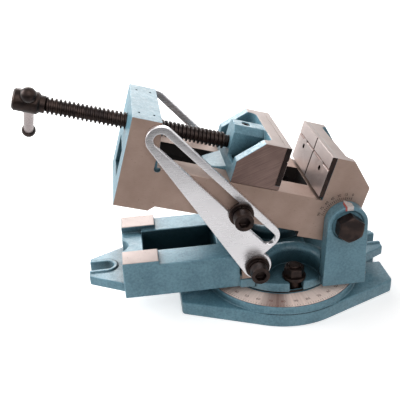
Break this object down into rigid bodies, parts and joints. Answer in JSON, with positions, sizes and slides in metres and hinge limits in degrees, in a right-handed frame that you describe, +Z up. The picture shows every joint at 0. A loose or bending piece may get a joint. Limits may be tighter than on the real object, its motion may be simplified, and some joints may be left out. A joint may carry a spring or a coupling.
{
  "type": "tilting drill press vise",
  "caption": "Tilting drill press vise: screw-driven jaw on a cast body that swings between brackets, locked by slotted arms, on a round swivel base with degree ring.",
  "frame": {"origin": "the swivel axis where it meets the table under the base", "axes": "+X along the swivel body towards the fixed jaw's end, +Y towards the rear arm, +Z up"},
  "size_m": [0.3713, 0.169, 0.2428],
  "materials": {
    "painted_casting": "satin paint on a sand casting",
    "machined_casting": "ground and milled",
    "jaw_plate_steel": "ground",
    "arm_steel": "bright plated",
    "black_steel": "black oxide",
    "pointer_paint": "gloss paint"
  },
  "bodies": {
    "base": {"swivel_base": "painted_casting", "swivel_pin": "arm_steel"},
    "swivel": {"swivel_body": "painted_casting", "front_t_bolt": "black_steel", "rear_t_bolt": "black_steel", "clamp_nuts": "black_steel", "clamp_washers": "black_steel", "front_arm_bolt": "black_steel", "rear_arm_bolt": "black_steel", "arm_bolt_washers": "black_steel", "arm_bolt_spring_washers": "black_steel", "angle_pointer": "pointer_paint"},
    "vise": {"vise_body": "machined_casting", "fixed_jaw_plate": "jaw_plate_steel", "fixed_jaw_screws": "black_steel", "front_pivot_bolt": "black_steel", "rear_pivot_bolt": "black_steel"},
    "jaw": {"movable_jaw": "painted_casting", "movable_jaw_plate": "jaw_plate_steel", "movable_jaw_screws": "black_steel", "keeper_plate": "machined_casting", "keeper_screws": "black_steel", "jaw_set_screw": "black_steel"},
    "screw": {"lead_screw": "black_steel"},
    "handle": {"handle_bar": "black_steel", "handle_upper_ball": "black_steel", "handle_lower_ball": "black_steel"},
    "front_arm": {"front_arm": "arm_steel"},
    "rear_arm": {"rear_arm": "arm_steel"},
    "front_lock": {"front_lock_bolt": "black_steel", "front_lock_washer": "black_steel", "front_lock_spring_washer": "black_steel"},
    "rear_lock": {"rear_lock_bolt": "black_steel", "rear_lock_washer": "black_steel", "rear_lock_spring_washer": "black_steel"}
  },
  "joints": [
    {"name": "swivel", "type": "hinge", "parent": "base", "child": "swivel", "pos_m": [0, 0, 0.026], "axis": [0, 0, 1], "continuous": true},
    {"name": "tilt", "type": "hinge", "parent": "swivel", "child": "vise", "pos_m": [0.0514, 0, 0.0982], "axis": [0, 1, 0], "range_deg": [-17.04, 72.96]},
    {"name": "jaw_slide", "type": "slide", "parent": "vise", "child": "jaw", "axis": [0.9561, 0, -0.293], "range_m": [-0.0551, 0.0403]},
    {"name": "screw_turn", "type": "hinge", "parent": "jaw", "child": "screw", "pos_m": [0.06239, 0, 0.13405], "axis": [0.9561, 0, -0.293], "range_deg": [-4962, 3630]},
    {"name": "handle_slide", "type": "slide", "parent": "screw", "child": "handle", "axis": [0.1884, -0.766, 0.6146], "range_m": [0, 0.066]},
    {"name": "front_arm_swing", "type": "hinge", "parent": "swivel", "child": "front_arm", "pos_m": [-0.036, -0.0533, 0.058], "axis": [0, 1, 0], "range_deg": [-13.9, 59.4]},
    {"name": "front_lock_slide", "type": "slide", "parent": "front_arm", "child": "front_lock", "axis": [-0.661, 0, 0.7504], "range_m": [-0.0247, 0.1055]},
    {"name": "rear_arm_swing", "type": "hinge", "parent": "swivel", "child": "rear_arm", "pos_m": [-0.036, 0.0533, 0.058], "axis": [0, 1, 0], "range_deg": [-13.9, 59.4]},
    {"name": "rear_lock_slide", "type": "slide", "parent": "rear_arm", "child": "rear_lock", "axis": [-0.661, 0, 0.7504], "range_m": [-0.0247, 0.1055]}
  ],
  "couplings": [
    {"joint": "screw_turn", "follows": "jaw_slide", "rad_per_m": 1570.8},
    {"joint": "front_arm_swing", "follows": "tilt", "ratio": 0.81328},
    {"joint": "front_lock_slide", "follows": "tilt", "m_per_rad": 0.082809},
    {"joint": "rear_arm_swing", "follows": "tilt", "ratio": 0.81328},
    {"joint": "rear_lock_slide", "follows": "tilt", "m_per_rad": 0.082809}
  ]
}
